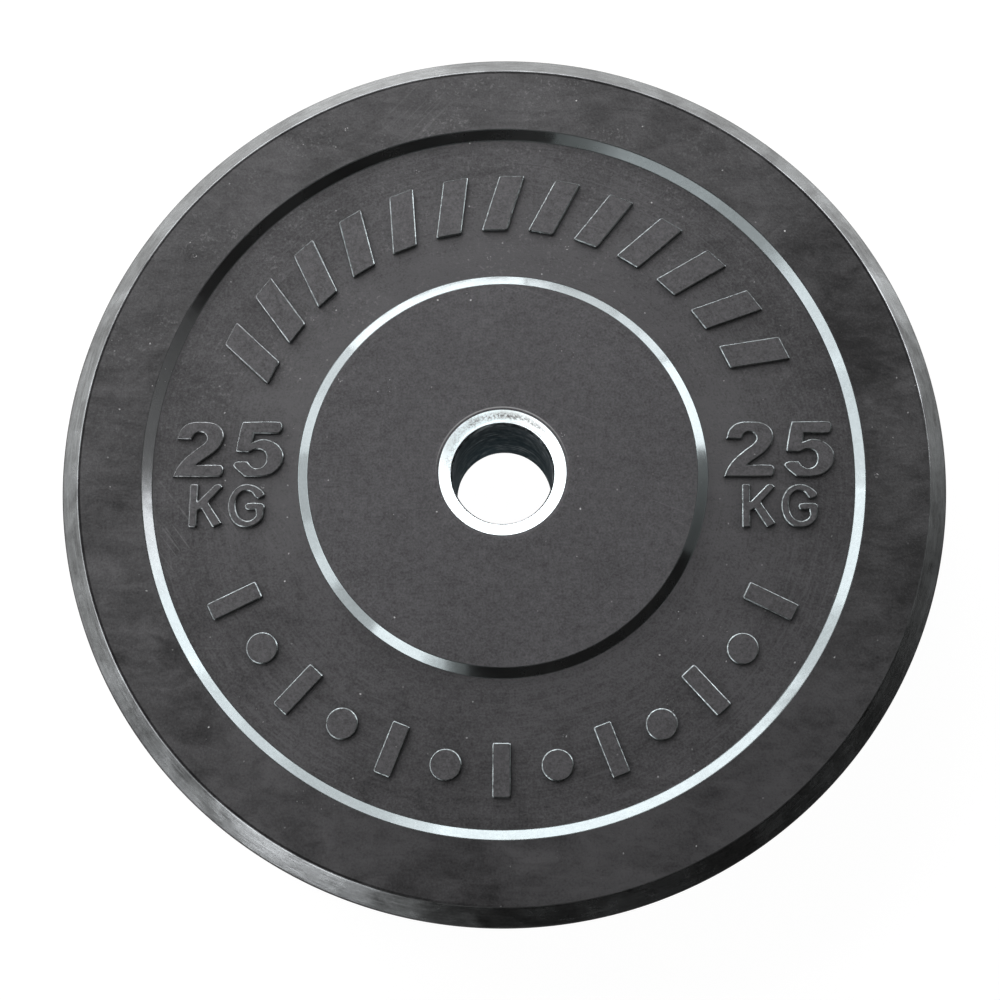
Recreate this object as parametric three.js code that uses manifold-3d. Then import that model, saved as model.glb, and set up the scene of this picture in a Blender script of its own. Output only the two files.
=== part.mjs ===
// Rubber bumper plate for an Olympic barbell.
// A vulcanised rubber disc is moulded round a steel insert: a sleeve for the bar, and an anchor
// disc welded to its middle, whose holes the rubber flows through.
// Millimetres. The bore runs along +Z, the rear face lies at z = 0, and +Y is up on the front face.

import * as THREE from 'three';
import { mergeVertices, toCreasedNormals } from 'three/addons/utils/BufferGeometryUtils.js';
import Module from 'manifold-3d';

const wasm = await Module();
wasm.setup();

// Whole plate
const outerDiameter = 450;
const plateThickness = 80;

// Rim of the rubber disc
const bevelWidth = 10;
const bevelDepth = 10;
const rimFaceWidth = 32.4;
const recessWallRun = 4.9;

// Recess and centre boss of the rubber disc, alike on both faces
const recessDepth = 3.8;
const bossDiameter = 197;
const bossWallRun = 5.3;
const edgeRounding = 1.1;

// Rubber lip round the sleeve's end
const lipWidth = 1.7;
const lipDepth = 0.6;

// Sleeve
const boreDiameter = 50.4;
const sleeveWall = 7;
const leadInDepth = 4.4;
const boreBlendDepth = 2.3;
const leadInWallShare = 0.785;
const boreBlendWallShare = 0.185;
const grooveWidth = 6;
const grooveDepth = 1.6;
const groovePlaceShare = 0.5;

// Anchor disc
const anchorDiameter = 150;
const anchorThickness = 8;
const anchorChamfer = 1;
const lockHoleDiameter = 18;
const lockHoleCount = 8;

// Weld beads between the sleeve and the anchor disc
const weldLeg = 5;
const weldCrown = 0.5;

// Gap between any two pieces that touch on the real plate
const seatGap = 0.3;

// Raised pattern on the recess floor, in two bands placed between the boss and the rim
const reliefHeight = 1.8;
const upperBandShares = { inner: 0.33, outer: 0.73 };
const lowerBandShares = { inner: 0.43, outer: 0.79 };
const slantBarWidth = 13;
const slantBarLean = 9;
const slantBarCount = 13;
const straightBarWidth = 9;
const pipDiameter = 15.7;
const lowerMarkCount = 13;
const bandHalfSweep = THREE.MathUtils.degToRad(64);

// How finely round surfaces are cut
const rubberSegments = 72;
const steelSegments = 48;
const holeSegments = 20;
const pipSegments = 12;
const roundingSteps = 2;
const weldFaceSteps = 3;

// How far a cutter or a raised shape runs into or past the solid it works on
const overrun = 1;

// Places worked out from the sizes above; heights are counted from the plate's middle plane
const halfThickness = plateThickness / 2;
const outerRadius = outerDiameter / 2;
const bossRadius = bossDiameter / 2;
const bossFootRadius = bossRadius + bossWallRun;
const rimEdgeRadius = outerRadius - bevelWidth;
const rimInnerRadius = rimEdgeRadius - rimFaceWidth;
const recessRadius = rimInnerRadius - recessWallRun;
const recessHeight = halfThickness - recessDepth;
const boreRadius = boreDiameter / 2;
const sleeveRadius = boreRadius + sleeveWall;
const seatRadius = sleeveRadius + seatGap;
const anchorRadius = anchorDiameter / 2;
const anchorHalf = anchorThickness / 2;
const slotHalf = anchorHalf + seatGap;
const weldReach = slotHalf + weldLeg;
const grooveHeight = weldReach + (halfThickness - weldReach) * groovePlaceShare;
const lockCircleRadius = (seatRadius + weldLeg + anchorRadius) / 2;

// A profile corner at a radius and a height, and how far from it the rounding begins
const corner = (radius, height, rounding = 0) => ({ radius, height, rounding });

// The other half of a profile that is alike above and below the middle plane
function mirrored(half) {
  const flipped = half.map((c) => corner(c.radius, -c.height, c.rounding));
  return [...half, ...flipped.reverse()];
}

// Points of a closed profile, with each rounded corner replaced by a short curve
function roundedOutline(corners) {
  const at = (i) => {
    const c = corners[(i + corners.length) % corners.length];
    return new THREE.Vector2(c.radius, c.height);
  };
  const outline = [];
  corners.forEach(({ rounding }, i) => {
    const here = at(i);
    const before = at(i - 1);
    const after = at(i + 1);
    const shortest = Math.min(here.distanceTo(before), here.distanceTo(after));
    const setback = Math.min(rounding, shortest / 3);
    if (setback === 0) {
      outline.push(here);
      return;
    }
    const start = before.sub(here).setLength(setback).add(here);
    const end = after.sub(here).setLength(setback).add(here);
    outline.push(...new THREE.QuadraticBezierCurve(start, here, end).getPoints(roundingSteps));
  });
  return outline;
}

// A ring turned about the bore axis from a closed profile, listed clockwise
function turned(corners, segments) {
  const outline = roundedOutline(corners).reverse();
  const profile = [...outline, outline[0].clone()];
  return new THREE.LatheGeometry(profile, segments).rotateX(Math.PI / 2);
}

// A straight round rod along the bore axis, centred on the origin
function rod(radius, length, segments) {
  return new THREE.CylinderGeometry(radius, radius, length, segments).rotateX(Math.PI / 2);
}

function toSolid(geometry) {
  const bare = geometry.clone();
  bare.deleteAttribute('normal');
  bare.deleteAttribute('uv');
  const merged = mergeVertices(bare);
  const vertProperties = new Float32Array(merged.attributes.position.array);
  const triVerts = new Uint32Array(merged.index.array);
  return new wasm.Manifold(new wasm.Mesh({ numProp: 3, vertProperties, triVerts }));
}

function toGeometry(solid) {
  const { vertProperties, triVerts } = solid.getMesh();
  const geometry = new THREE.BufferGeometry();
  geometry.setAttribute('position', new THREE.BufferAttribute(vertProperties, 3));
  geometry.setIndex(new THREE.BufferAttribute(triVerts, 1));
  return geometry;
}

// Copies of a rod through each lock hole's place
function lockHoleRods(radius, length) {
  return Array.from({ length: lockHoleCount }, (_, i) => {
    const angle = (i / lockHoleCount) * Math.PI * 2;
    const x = lockCircleRadius * Math.cos(angle);
    const y = lockCircleRadius * Math.sin(angle);
    return rod(radius, length, holeSegments).translate(x, y, 0);
  });
}

// Rubber disc: outer skin, keyed seat for the sleeve, and slot round the anchor disc and its welds
function rubberProfile() {
  const slotRadius = anchorRadius + seatGap;
  const weldPocket = weldLeg + (weldCrown + seatGap) * Math.SQRT2;
  const keyRadius = seatRadius - grooveDepth;
  const keyHalf = grooveWidth / 2 - seatGap;
  return mirrored([
    corner(slotRadius, slotHalf - anchorChamfer),
    corner(slotRadius - anchorChamfer, slotHalf),
    corner(seatRadius + weldPocket, slotHalf),
    corner(seatRadius, slotHalf + weldPocket),
    corner(seatRadius, grooveHeight - keyHalf),
    corner(keyRadius, grooveHeight - keyHalf),
    corner(keyRadius, grooveHeight + keyHalf),
    corner(seatRadius, grooveHeight + keyHalf),
    corner(seatRadius, halfThickness - lipDepth),
    corner(seatRadius + lipWidth, halfThickness),
    corner(bossRadius, halfThickness, edgeRounding),
    corner(bossFootRadius, recessHeight, edgeRounding),
    corner(recessRadius, recessHeight, edgeRounding),
    corner(rimInnerRadius, halfThickness, edgeRounding),
    corner(rimEdgeRadius, halfThickness, edgeRounding),
    corner(outerRadius, halfThickness - bevelDepth, edgeRounding),
  ]);
}

// Radius at a share of the way from the boss to the rim, across the recess floor
const recessRadiusAt = (share) => bossFootRadius + (recessRadius - bossFootRadius) * share;

// A raised bar that runs across its band, with its outer end moved sideways by the lean
function raisedBar(band, width, lean) {
  const innerEnd = recessRadiusAt(band.inner);
  const outerEnd = recessRadiusAt(band.outer);
  const outline = new THREE.Shape();
  outline.moveTo(-(width + lean) / 2, innerEnd);
  outline.lineTo((width - lean) / 2, innerEnd);
  outline.lineTo((width + lean) / 2, outerEnd);
  outline.lineTo(-(width - lean) / 2, outerEnd);
  const options = { depth: reliefHeight + overrun, bevelEnabled: false };
  return new THREE.ExtrudeGeometry(outline, options).translate(0, 0, recessHeight - overrun);
}

function raisedPip(band) {
  const height = reliefHeight + overrun;
  const middle = recessRadiusAt((band.inner + band.outer) / 2);
  return rod(pipDiameter / 2, height, pipSegments).translate(0, middle, recessHeight + reliefHeight - height / 2);
}

// Turns each mark to its place along a band that is centred on a direction
function spread(count, centre, makeMark) {
  return Array.from({ length: count }, (_, i) => {
    const turn = THREE.MathUtils.lerp(bandHalfSweep, -bandHalfSweep, i / (count - 1));
    return makeMark(i).rotateZ(centre + turn);
  });
}

// Pattern of the front face: leaning bars above the bore, straight bars and pips in turn below it
function frontPattern() {
  const upper = spread(slantBarCount, 0, () => raisedBar(upperBandShares, slantBarWidth, slantBarLean));
  const lower = spread(lowerMarkCount, Math.PI, (i) => {
    return i % 2 === 0 ? raisedBar(lowerBandShares, straightBarWidth, 0) : raisedPip(lowerBandShares);
  });
  return [...upper, ...lower];
}

function rubberDisc() {
  let disc = toSolid(turned(rubberProfile(), rubberSegments));
  const postRadius = lockHoleDiameter / 2 - seatGap;
  for (const post of lockHoleRods(postRadius, anchorThickness + 2 * (seatGap + overrun))) {
    disc = disc.add(toSolid(post));
  }
  const front = frontPattern();
  const rear = front.map((mark) => mark.clone().rotateY(Math.PI));
  for (const mark of [...front, ...rear]) {
    disc = disc.add(toSolid(mark));
  }
  return toGeometry(disc);
}

// Sleeve: bore with a lead-in at each end, and a retaining groove in each half of its outside
function hubSleeve() {
  const coneFoot = boreRadius + sleeveWall * boreBlendWallShare;
  const coneTop = coneFoot + sleeveWall * leadInWallShare;
  const grooveRadius = sleeveRadius - grooveDepth;
  const grooveHalf = grooveWidth / 2;
  return turned(mirrored([
    corner(boreRadius, halfThickness - leadInDepth - boreBlendDepth, edgeRounding),
    corner(coneFoot, halfThickness - leadInDepth, edgeRounding),
    corner(coneTop, halfThickness),
    corner(sleeveRadius, halfThickness),
    corner(sleeveRadius, grooveHeight + grooveHalf),
    corner(grooveRadius, grooveHeight + grooveHalf),
    corner(grooveRadius, grooveHeight - grooveHalf),
    corner(sleeveRadius, grooveHeight - grooveHalf),
  ]), steelSegments);
}

// Anchor disc: flat ring on the middle of the sleeve, with holes that the rubber fills
function anchorDisc() {
  let disc = toSolid(turned(mirrored([
    corner(seatRadius, anchorHalf),
    corner(anchorRadius - anchorChamfer, anchorHalf),
    corner(anchorRadius, anchorHalf - anchorChamfer),
  ]), steelSegments));
  for (const hole of lockHoleRods(lockHoleDiameter / 2, anchorThickness + 2 * overrun)) {
    disc = disc.subtract(toSolid(hole));
  }
  return toGeometry(disc);
}

// Weld bead: fillet with a slightly crowned face, in the corner of the sleeve and the disc
function weldBead(side) {
  const face = Array.from({ length: weldFaceSteps + 1 }, (_, i) => {
    const share = i / weldFaceSteps;
    const crown = weldCrown * Math.sin(share * Math.PI) * Math.SQRT1_2;
    return corner(seatRadius + weldLeg * share + crown, slotHalf + weldLeg * (1 - share) + crown);
  });
  const bead = turned([corner(seatRadius, slotHalf), ...face], steelSegments);
  return side > 0 ? bead : bead.rotateX(Math.PI);
}

const rubber = new THREE.MeshStandardMaterial({ color: 0x343536, roughness: 0.62, metalness: 0 });
const platedSteel = new THREE.MeshStandardMaterial({ color: 0xc3c8ca, roughness: 0.32, metalness: 1 });
const millSteel = new THREE.MeshStandardMaterial({ color: 0x74777a, roughness: 0.55, metalness: 1 });
const weldMetal = new THREE.MeshStandardMaterial({ color: 0x8a8680, roughness: 0.45, metalness: 1 });

const creaseAngle = THREE.MathUtils.degToRad(24);

function piece(name, geometry, material) {
  const mesh = new THREE.Mesh(toCreasedNormals(geometry, creaseAngle), material);
  mesh.name = name;
  return mesh;
}

const plate = new THREE.Group();
plate.name = 'bumper_plate';
plate.position.z = halfThickness;
plate.add(piece('rubber_disc', rubberDisc(), rubber));
plate.add(piece('hub_sleeve', hubSleeve(), platedSteel));
plate.add(piece('anchor_disc', anchorDisc(), millSteel));
plate.add(piece('front_weld', weldBead(1), weldMetal));
plate.add(piece('rear_weld', weldBead(-1), weldMetal));

export default plate;
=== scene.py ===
import math

import bmesh
import bpy
from mathutils import Matrix, Vector, noise


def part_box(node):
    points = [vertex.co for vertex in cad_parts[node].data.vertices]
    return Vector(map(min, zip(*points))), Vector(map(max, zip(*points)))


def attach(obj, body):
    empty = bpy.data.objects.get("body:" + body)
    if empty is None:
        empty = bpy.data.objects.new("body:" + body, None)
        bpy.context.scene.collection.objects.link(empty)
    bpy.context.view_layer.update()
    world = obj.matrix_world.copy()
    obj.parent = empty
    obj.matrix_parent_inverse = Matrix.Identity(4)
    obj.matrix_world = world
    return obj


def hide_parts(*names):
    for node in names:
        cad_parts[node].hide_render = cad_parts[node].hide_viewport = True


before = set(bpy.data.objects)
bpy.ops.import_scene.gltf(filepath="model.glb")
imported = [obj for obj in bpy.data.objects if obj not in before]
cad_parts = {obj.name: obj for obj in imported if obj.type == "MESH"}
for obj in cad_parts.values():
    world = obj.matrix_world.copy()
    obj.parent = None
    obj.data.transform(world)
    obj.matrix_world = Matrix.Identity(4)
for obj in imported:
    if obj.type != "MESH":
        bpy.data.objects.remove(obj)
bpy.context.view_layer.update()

MM = 0.001

# Sizes read from the CAD parts in model.glb; heights are counted from the plate's middle plane
rubber_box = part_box("rubber_disc")
sleeve_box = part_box("hub_sleeve")
anchor_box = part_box("anchor_disc")
weld_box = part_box("front_weld")
outer_radius = rubber_box[1].x
half_thickness = (rubber_box[1].z - rubber_box[0].z) / 2
middle_height = (rubber_box[1].z + rubber_box[0].z) / 2
sleeve_radius = sleeve_box[1].x
anchor_radius = anchor_box[1].x
anchor_half = (anchor_box[1].z - anchor_box[0].z) / 2
weld_leg = weld_box[1].z - weld_box[0].z

# Rubber disc
bevel_width = 10 * MM
bevel_depth = 10 * MM
rim_face_width = 32.4 * MM
recess_wall_run = 4.9 * MM
recess_depth = 3.5 * MM
boss_radius = 98.6 * MM
boss_wall_run = 5.05 * MM
edge_rounding = 0.3 * MM
rim_rounding = 0.5 * MM
outer_rounding = 1.1 * MM
lip_width = 1.2 * MM
lip_depth = 0.2 * MM
lip_rounding = 0.3 * MM
seat_gap = 0.05 * MM
lock_hole_radius = 9 * MM
lock_hole_count = 8
post_overlap = 1 * MM
edge_waviness = 0.06 * MM
waves_per_metre = 32
parting_half_width = 0.6 * MM
parting_depth = 0.25 * MM

# Steel sleeve
cone_top_radius = 32.0 * MM
cone_foot_radius = 27.5 * MM
cone_depth = 3.6 * MM
bead_radius = 26.75 * MM
bead_depth = 3.3 * MM
bead_inner_radius = 26.42 * MM
bead_inner_depth = 3.6 * MM
bore_radius = 25.4 * MM
bore_depth = 7.0 * MM
groove_depth = 1.6 * MM
groove_half_width = 3 * MM
bore_rounding = 0.9 * MM
bead_rounding = 0.15 * MM
sleeve_edge_rounding = 0.1 * MM

# Raised marks on the recess floor
relief_height = 1.8 * MM
relief_edge_run = 0.46 * MM
relief_edge_drop = 0.36 * MM
relief_draft = 0.35 * MM
relief_embed = 0.4 * MM
upper_band_shares = (0.33, 0.73)
lower_band_shares = (0.43, 0.79)
slant_bar_width = 13 * MM
slant_bar_lean = 9 * MM
slant_bar_count = 13
straight_bar_width = 9 * MM
bar_corner = 1.2 * MM
pip_radius = 7.85 * MM
lower_mark_count = 13
band_half_sweep = math.radians(64)

# Weight marks, measured from the middle of each group
weight_mark_distance = 139.3 * MM
digit_height = 28.4 * MM
digit_width = 25.2 * MM
digit_base = -1.9 * MM
digit_lefts = (-27.6 * MM, 3.0 * MM)
letter_height = 22 * MM
letter_base = -27.8 * MM
letter_lefts = (-18.9 * MM, 0.9 * MM)
letter_widths = (16.6 * MM, 18.3 * MM)
letter_corner = 0.9 * MM

boss_foot_radius = boss_radius + boss_wall_run
rim_edge_radius = outer_radius - bevel_width
rim_inner_radius = rim_edge_radius - rim_face_width
recess_radius = rim_inner_radius - recess_wall_run
recess_height = half_thickness - recess_depth
seat_radius = sleeve_radius + seat_gap
slot_half = anchor_half + seat_gap
groove_height = (slot_half + weld_leg + half_thickness) / 2
parting_foot_half_width = parting_half_width / 3

# Places of wear, and of painted light
worn_width = 5 * MM
halo_radius = seat_radius + 1.4 * MM
rubbed_radius = 29.7 * MM
dust_and_light_radius = 160 * MM

DISC_SEGMENTS = 660
SLEEVE_SEGMENTS = 256
ROUNDING_STEPS = 6
CURVE_STEPS = 8
CIRCLE_STEPS = 48
SUPPORT_WIDTH = 0.25 * MM
CREASE_ANGLE = math.radians(30)
MITRE_LIMIT = 0.4


# Node materials

FAINTEST_SPECK = 0.15
SPECK_CONTRAST = 3.5
CURL_STRENGTH = 0.45


class Nodes:
    """The node tree of a material or world, with one method for each kind of node used here."""

    def __init__(self, owner):
        self.owner = owner
        owner.use_nodes = True
        self.tree = owner.node_tree
        self.tree.nodes.clear()

    def add(self, kind, **settings):
        node = self.tree.nodes.new(kind)
        for key, value in settings.items():
            setattr(node, key, value)
        return node

    def feed(self, socket, value):
        """Links a socket to an output, or sets it where the value is the same everywhere."""
        if isinstance(value, bpy.types.NodeSocket):
            self.tree.links.new(value, socket)
        else:
            socket.default_value = value

    def math(self, operation, *values):
        node = self.add("ShaderNodeMath", operation=operation)
        for socket, value in zip(node.inputs, values):
            self.feed(socket, value)
        return node.outputs[0]

    def product(self, first, *others):
        for value in others:
            first = self.math("MULTIPLY", first, value)
        return first

    def largest(self, first, *others):
        for value in others:
            first = self.math("MAXIMUM", first, value)
        return first

    def total(self, start, *weighted):
        """Start plus each value times its weight."""
        for value, weight in weighted:
            start = self.math("MULTIPLY_ADD", value, weight, start)
        return start

    def away(self, value, centre):
        """How far a value is from a centre, on either side."""
        return self.math("ABSOLUTE", self.math("SUBTRACT", value, centre))

    def ramp(self, value, low, high, to_low=0.0, to_high=1.0):
        node = self.add("ShaderNodeMapRange", clamp=True)
        names = ("Value", "From Min", "From Max", "To Min", "To Max")
        for name, entry in zip(names, (value, low, high, to_low, to_high)):
            self.feed(node.inputs[name], entry)
        return node.outputs[0]

    def band(self, value, centre, inner, outer):
        """1 where the value is within inner of the centre, fading to 0 at outer."""
        return self.ramp(self.away(value, centre), inner, outer, 1.0, 0.0)

    def apart(self, vector):
        """A vector's three coordinates."""
        split = self.add("ShaderNodeSeparateXYZ")
        self.feed(split.inputs[0], vector)
        return split.outputs

    def along(self, x, y, degrees):
        """How far a place lies in a direction."""
        angle = math.radians(degrees)
        return self.total(self.math("MULTIPLY", x, math.cos(angle)), (y, math.sin(angle)))

    def mapped(self, source, scale=(1, 1, 1), turn=0.0, move=(0, 0, 0)):
        node = self.add("ShaderNodeMapping")
        self.feed(node.inputs["Vector"], source)
        node.inputs["Scale"].default_value = scale
        node.inputs["Rotation"].default_value = (0, 0, turn)
        node.inputs["Location"].default_value = move
        return node.outputs[0]

    def blend(self, factor, low, high):
        node = self.add("ShaderNodeMix", data_type="RGBA")
        self.feed(node.inputs["Factor"], factor)
        self.feed(node.inputs[6], low)
        self.feed(node.inputs[7], high)
        return node.outputs[2]

    def shades(self, tone, make_colour, level, spread):
        """From darker to lighter than a level by a share of it, as the tone goes from 0 to 1."""
        return self.blend(tone, make_colour(level * (1 - spread)), make_colour(level * (1 + spread)))

    def bump(self, height, distance):
        node = self.add("ShaderNodeBump")
        node.inputs["Distance"].default_value = distance
        self.feed(node.inputs["Height"], height)
        return node.outputs[0]

    def rays(self):
        """Whether a ray shows the thing itself, and whether it shows it mirrored in gloss."""
        path = self.add("ShaderNodeLightPath")
        seen = self.largest(path.outputs["Is Camera Ray"], path.outputs["Is Transmission Ray"])
        return seen, path.outputs["Is Glossy Ray"]

    def finish(self, kind, shader):
        output = self.add(kind)
        self.feed(output.inputs["Surface"], shader.outputs[0])


class Finish(Nodes):
    """A material's nodes, with the wear that its textures are made of.

    Scales are in cells per metre, and directions are in degrees from +X, seen from the front."""

    def __init__(self, name):
        super().__init__(bpy.data.materials.new(name))
        self.place = self.add("ShaderNodeTexCoord").outputs["Object"]
        self.x, self.y, self.z = self.apart(self.place)
        self.radius = self.length(self.x, self.y)

    def length(self, x, y):
        squares = self.math("ADD", self.math("MULTIPLY", x, x), self.math("MULTIPLY", y, y))
        return self.math("SQRT", squares)

    def polar(self, radial, angular):
        """A place that changes fast with the radius and slowly round the bore."""
        join = self.add("ShaderNodeCombineXYZ")
        self.feed(join.inputs[0], self.math("MULTIPLY", self.radius, radial))
        for socket, part in zip(join.inputs[1:], (self.x, self.y)):
            self.feed(socket, self.math("MULTIPLY", self.math("DIVIDE", part, self.radius), angular))
        return join.outputs[0]

    def towards(self, degrees):
        """1 in a direction from the bore, -1 opposite it."""
        return self.math("DIVIDE", self.along(self.x, self.y, degrees), self.radius)

    def side(self, degrees, low, high, to_low=0.0, to_high=1.0):
        """A ramp over what towards gives: 1 on the side that lies in a direction, unless told otherwise."""
        return self.ramp(self.towards(degrees), low, high, to_low, to_high)

    def spot(self, x, y, reach):
        """1 near a place on either face, fading to 0 at reach from it."""
        off = self.length(self.math("SUBTRACT", self.x, x), self.math("SUBTRACT", self.y, y))
        return self.ramp(off, reach / 3, reach, 1.0, 0.0)

    def noise(self, scale, detail=2.0, roughness=0.5, source=None, distortion=0.0):
        """Noise centred on zero."""
        node = self.add("ShaderNodeTexNoise")
        self.feed(node.inputs["Vector"], source or self.place)
        node.inputs["Scale"].default_value = scale
        node.inputs["Detail"].default_value = detail
        node.inputs["Roughness"].default_value = roughness
        node.inputs["Distortion"].default_value = distortion
        return self.math("SUBTRACT", node.outputs["Fac"], 0.5)

    def patches(self, scale, low, high, detail=1.0, roughness=0.5):
        """1 where noise is above high and 0 where it is below low."""
        return self.ramp(self.noise(scale, detail, roughness), low, high)

    def drawn(self, scales, detail, roughness, turn=0.0, distortion=0.0):
        """Noise with a scale of its own along each axis."""
        return self.noise(1.0, detail, roughness, self.mapped(self.place, scales, turn), distortion)

    def circling(self, radial, angular, detail=3.0, roughness=0.65):
        """Noise drawn out round the bore."""
        return self.noise(1.0, detail, roughness, self.polar(radial, angular))

    def wandering(self, scale, reach):
        """The place, moved about unevenly, so that small round shapes on it become uneven."""
        uneven = self.add("ShaderNodeTexNoise")
        self.feed(uneven.inputs["Vector"], self.place)
        uneven.inputs["Scale"].default_value = scale
        moved = self.add("ShaderNodeVectorMath", operation="MULTIPLY_ADD")
        self.feed(moved.inputs[0], uneven.outputs["Color"])
        moved.inputs[1].default_value = (reach, reach, 0)
        self.feed(moved.inputs[2], self.place)
        return moved.outputs[0]

    def cells(self, source, scale, seed):
        """Distance to the nearest of many scattered points, in cells, and two random numbers of it."""
        node = self.add("ShaderNodeTexVoronoi", feature="F1", voronoi_dimensions="2D")
        self.feed(node.inputs["Vector"], self.mapped(source, move=(seed, seed / 3, 0)))
        node.inputs["Scale"].default_value = scale
        split = self.add("ShaderNodeSeparateColor")
        self.feed(split.inputs[0], node.outputs["Color"])
        return node.outputs["Distance"], split.outputs[0], split.outputs[1]

    def specks(self, source, scale, size, share, seed):
        """Specks of a size in metres, on a share of the cells; a few are bright and most are faint."""
        distance, pick, strength = self.cells(source, scale, seed)
        near = self.ramp(distance, size * scale * 0.5, size * scale, 1.0, 0.0)
        kept = self.math("LESS_THAN", pick, share)
        spread = self.math("POWER", strength, SPECK_CONTRAST)
        bright = self.total(FAINTEST_SPECK, (spread, 1 - FAINTEST_SPECK))
        return self.product(near, kept, bright)

    def curls(self, source, scale, size, share, seed):
        """Curled hairs of dust: broken rings of a radius in metres, on a share of the cells."""
        distance, pick, _ = self.cells(source, scale, seed)
        ring = self.band(distance, size * scale, size * scale * 0.12, size * scale * 0.3)
        kept = self.math("LESS_THAN", pick, share)
        return self.product(ring, kept, self.patches(900.0, 0.0, 0.08), CURL_STRENGTH)

    def dust(self, amount):
        """All the dust on a face, from 0 to 1."""
        uneven = self.wandering(1100.0, 0.9 * MM)
        grains = self.specks(uneven, scale=55.0, size=0.5 * MM, share=0.34 * amount, seed=0.0)
        clusters = self.specks(uneven, scale=330.0, size=0.3 * MM, share=0.2, seed=5.3)
        clustered = self.product(clusters, self.patches(34.0, 0.13, 0.2), 0.6)
        hairs = self.curls(uneven, scale=26.0, size=0.9 * MM, share=0.12 * amount, seed=2.7)
        return self.largest(grains, clustered, hairs)

    def scratches(self, degrees, threshold, where):
        """Fine straight scratches across a direction, where the given value is above 0."""
        turned_place = self.mapped(self.place, turn=math.radians(degrees))
        stretched = self.mapped(turned_place, (14.0, 700.0, 14.0))
        lines = self.noise(1.0, detail=2.0, roughness=0.6, source=stretched)
        return self.product(self.ramp(lines, threshold, threshold + 0.05), where)

    def powder(self, where):
        """Fine pale grains of wear, where the given value is above 0."""
        return self.product(self.patches(520.0, 0.07, 0.2, detail=2.0, roughness=0.7), where)

    def painted_edge_shade(self):
        """Painted shade: 1 along the line where the rim meets the bevel, except on the lower right."""
        line = self.band(self.radius, centre=rim_edge_radius - 0.9 * MM, inner=0.3 * MM, outer=0.8 * MM)
        return self.product(line, self.side(318, 0.35, 0.75, 1.0, 0.0))

    def surface(self, base, roughness, normal, metallic=0.0, ior=1.5, sheen=0.5, tint=(1, 1, 1, 1)):
        """The finished material; sheen is the strength of its gloss, usually 0.5."""
        shader = self.add("ShaderNodeBsdfPrincipled")
        self.feed(shader.inputs["Base Color"], base)
        self.feed(shader.inputs["Roughness"], roughness)
        self.feed(shader.inputs["Normal"], normal)
        self.feed(shader.inputs["Metallic"], metallic)
        self.feed(shader.inputs["Specular IOR Level"], sheen)
        self.feed(shader.inputs["Specular Tint"], tint)
        shader.inputs["IOR"].default_value = ior
        self.finish("ShaderNodeOutputMaterial", shader)
        return self.owner


# Colours

def colour(red, green, blue):
    return (red, green, blue, 1.0)


def grey(level):
    return colour(level, level, level)


def black_rubber(level):
    """Rubber's colour, which is faintly violet."""
    return colour(level, level * 0.97, level * 1.04)


# Pale dust colour, also used for painted light round the sleeve and near the boss.
DUST_AND_PAINTED_LIGHT = grey(0.55)
DUST_ON_GLOSS = grey(0.4)
# Painted reflection colour: bluish tints for the light that the walls and bevel mirror, less blue on the
# recess wall's left.
PAINTED_WALL_REFLECTION_TINT = colour(0.86, 0.985, 1.0)
PAINTED_LEFT_WALL_REFLECTION_TINT = colour(0.95, 0.98, 1.0)
PAINTED_BEVEL_REFLECTION_TINT = colour(0.93, 0.985, 1.0)
ZINC = colour(0.9, 0.96, 0.97)
STAINED_ZINC = colour(0.55, 0.57, 0.57)
SHADED_ZINC = colour(0.64, 0.67, 0.66)
RUBBED_ZINC = colour(0.2, 0.2, 0.19)
OILED_STEEL = colour(0.04, 0.047, 0.05)
BARE_STEEL = colour(0.6, 0.65, 0.67)
OILED_TINT = colour(0.4, 0.46, 0.49)
BARE_TINT = grey(1.0)
MOUTH_SHADE_TINT = grey(0.03)
SEEN_FLOOR = grey(0.08)
UNSEEN_FLOOR = grey(0.35)
SHADED_FLOOR = grey(0.02)
FLAG_BLACK = grey(0.005)


# Finishes

def matte_rubber(name, level, grain, roughness, ior, turning=0.3, clouds=1.0, dust=1.0, local=None):
    """Moulded face: cloudy and finely grained, with turning marks of the mould, dust and scratches.

    Local adds what only this face has: a function that gives a value for its chalky marks and painted light,
    and other values with their weights in the tone."""
    n = Finish(name)
    cloud = n.noise(24.0, detail=4.0, roughness=0.62, distortion=0.8)
    patch = n.noise(8.0)
    smear = n.drawn((40.0, 95.0, 40.0), detail=4.0, roughness=0.65, turn=0.6, distortion=1.2)
    mottle = n.noise(260.0, detail=3.0, roughness=0.65)
    fine = n.noise(850.0, detail=2.0, roughness=0.7)
    rings = n.circling(900.0, 6.0, roughness=0.7)
    streak = n.product(n.ramp(n.circling(420.0, 9.0), 0.04, 0.2), n.patches(12.0, 0.0, 0.12))
    scratch = n.scratches(20, 0.14, n.patches(11.0, 0.02, 0.1))
    bits = n.patches(1300.0, 0.19, 0.26, detail=2.0, roughness=0.6)
    chalk_and_painted_light, extras = local(n) if local else (0.0, ())
    tone = n.total(0.5, (cloud, 0.9 * clouds), (patch, 0.7 * clouds), (smear, 0.7 * clouds),
                   (mottle, 1.0 * grain), (fine, 1.5 * grain), (rings, turning), (streak, 0.5 * turning),
                   (scratch, 0.3), (bits, 0.6), *extras)
    clean = n.shades(tone, black_rubber, level, 0.65)
    base = n.blend(n.largest(n.dust(dust), chalk_and_painted_light), clean, DUST_AND_PAINTED_LIGHT)
    rough = n.total(roughness, (cloud, 0.25 * clouds), (patch, 0.2 * clouds), (smear, 0.15 * clouds))
    height = n.total(0.0, (mottle, 0.5), (fine, 0.6), (rings, 0.5 * turning))
    # Less sheen along the rim's outer edge: painted shade.
    sheen = n.total(0.5, (smear, 0.3 * clouds), (fine, 0.2 * grain), (n.painted_edge_shade(), -0.35))
    return n.surface(base, rough, n.bump(height, 0.12 * MM * grain), ior=ior, sheen=sheen)


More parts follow.
